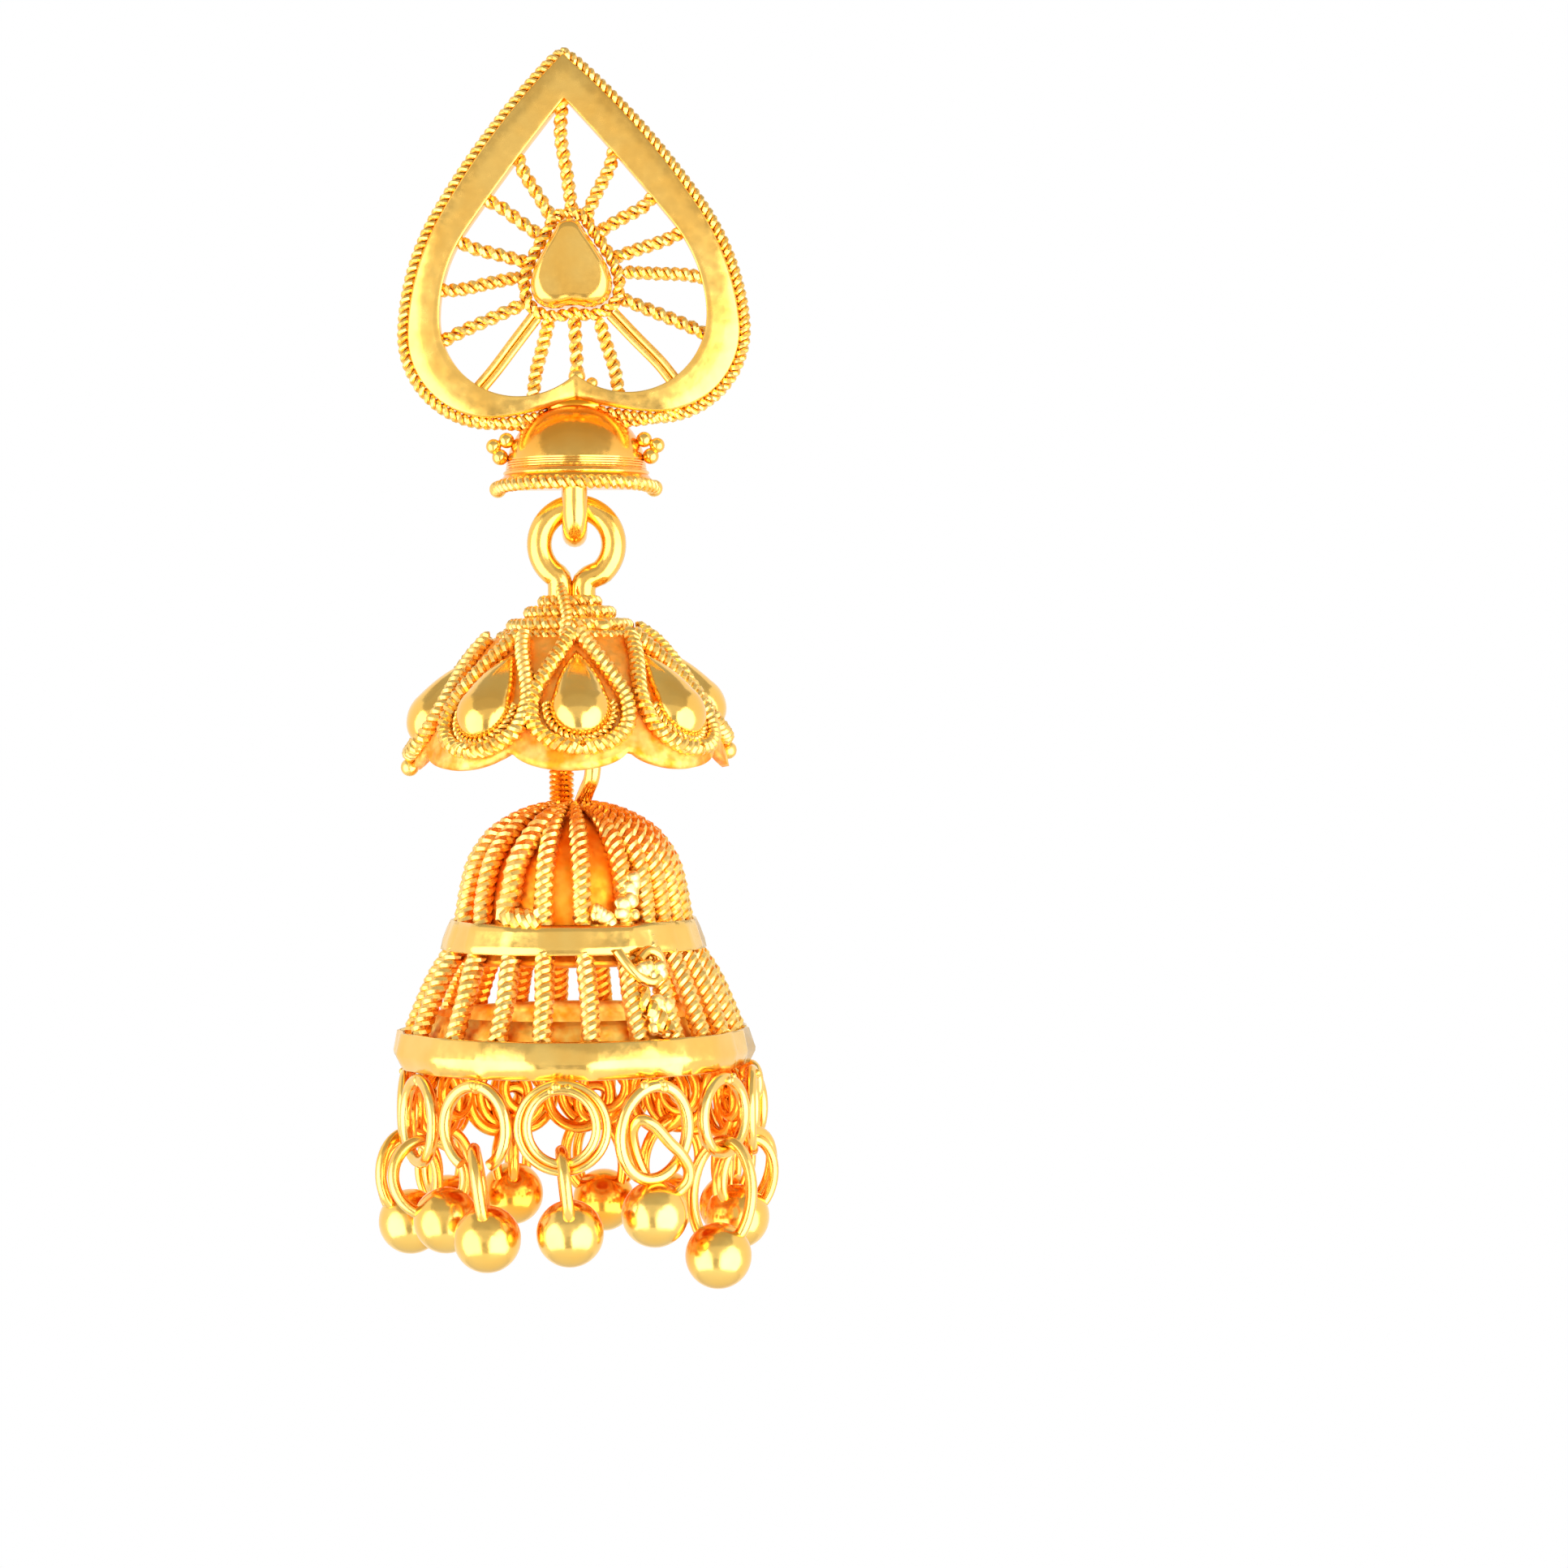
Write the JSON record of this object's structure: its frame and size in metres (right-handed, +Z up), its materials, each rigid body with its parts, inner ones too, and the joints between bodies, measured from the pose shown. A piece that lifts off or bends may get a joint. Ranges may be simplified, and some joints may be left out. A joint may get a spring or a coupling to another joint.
{
  "type": "jhumka earring",
  "caption": "Gold-toned jhumka earring: leaf-shaped filigree stud with an ear post, a scalloped umbrella hung from its loop, and a wire-ribbed bell fringed with ball drops.",
  "frame": {"origin": "centre of the ear post where it leaves the back of the stud's centre drop, on the plane that lies against the ear lobe", "axes": "+Z up along the hanging line, -Y the front of the earring, +Y into the ear, +X to the viewer's right"},
  "size_m": [0.0198, 0.0218, 0.0554],
  "materials": {
    "polished_gold": "gold-plated brass, mirror polished",
    "plain_wire": "gold-plated round wire, polished",
    "twisted_wire": "gold-plated twisted wire, two strands, soldered"
  },
  "bodies": {
    "stud": {"leaf_frame": "polished_gold", "leaf_rope_edge": "twisted_wire", "filigree_spokes": "twisted_wire", "centre_drop": "polished_gold", "ear_post": "plain_wire", "base_cup": "polished_gold", "cup_rim": "twisted_wire", "granules_left": "polished_gold", "granules_right": "polished_gold", "stud_loop": "plain_wire"},
    "umbrella": {"umbrella_eye": "plain_wire", "crown": "twisted_wire", "umbrella_skirt": "polished_gold", "inner_loop": "plain_wire", "petal_drop_1": "polished_gold", "petal_drop_2": "polished_gold", "petal_drop_3": "polished_gold", "petal_drop_4": "polished_gold", "petal_drop_5": "polished_gold", "petal_drop_6": "polished_gold", "petal_drop_7": "polished_gold", "petal_drop_8": "polished_gold"},
    "bell": {"ball_drop_01": "polished_gold", "ball_drop_02": "polished_gold", "ball_drop_03": "polished_gold", "ball_drop_04": "polished_gold", "ball_drop_05": "polished_gold", "ball_drop_06": "polished_gold", "ball_drop_07": "polished_gold", "ball_drop_08": "polished_gold", "ball_drop_09": "polished_gold", "ball_drop_10": "polished_gold", "ball_drop_11": "polished_gold", "ball_drop_12": "polished_gold", "bell_dome": "polished_gold", "bell_eye": "plain_wire", "hoop_01": "plain_wire", "hoop_02": "plain_wire", "hoop_03": "plain_wire", "hoop_04": "plain_wire", "hoop_05": "plain_wire", "hoop_06": "plain_wire", "hoop_07": "plain_wire", "hoop_08": "plain_wire", "hoop_09": "plain_wire", "hoop_10": "plain_wire", "hoop_11": "plain_wire", "hoop_12": "plain_wire", "lower_band": "polished_gold", "rib_cage": "twisted_wire", "upper_band": "polished_gold"}
  },
  "joints": [
    {"name": "drop_swing", "type": "hinge", "parent": "stud", "child": "umbrella", "pos_m": [0, -0.0019, -0.01192], "axis": [0, 1, 0], "range_deg": [-55, 55]},
    {"name": "bell_swing", "type": "hinge", "parent": "umbrella", "child": "bell", "pos_m": [0, -0.0019, -0.02144], "axis": [0.866, 0.5, 0], "range_deg": [-32, 32]}
  ]
}
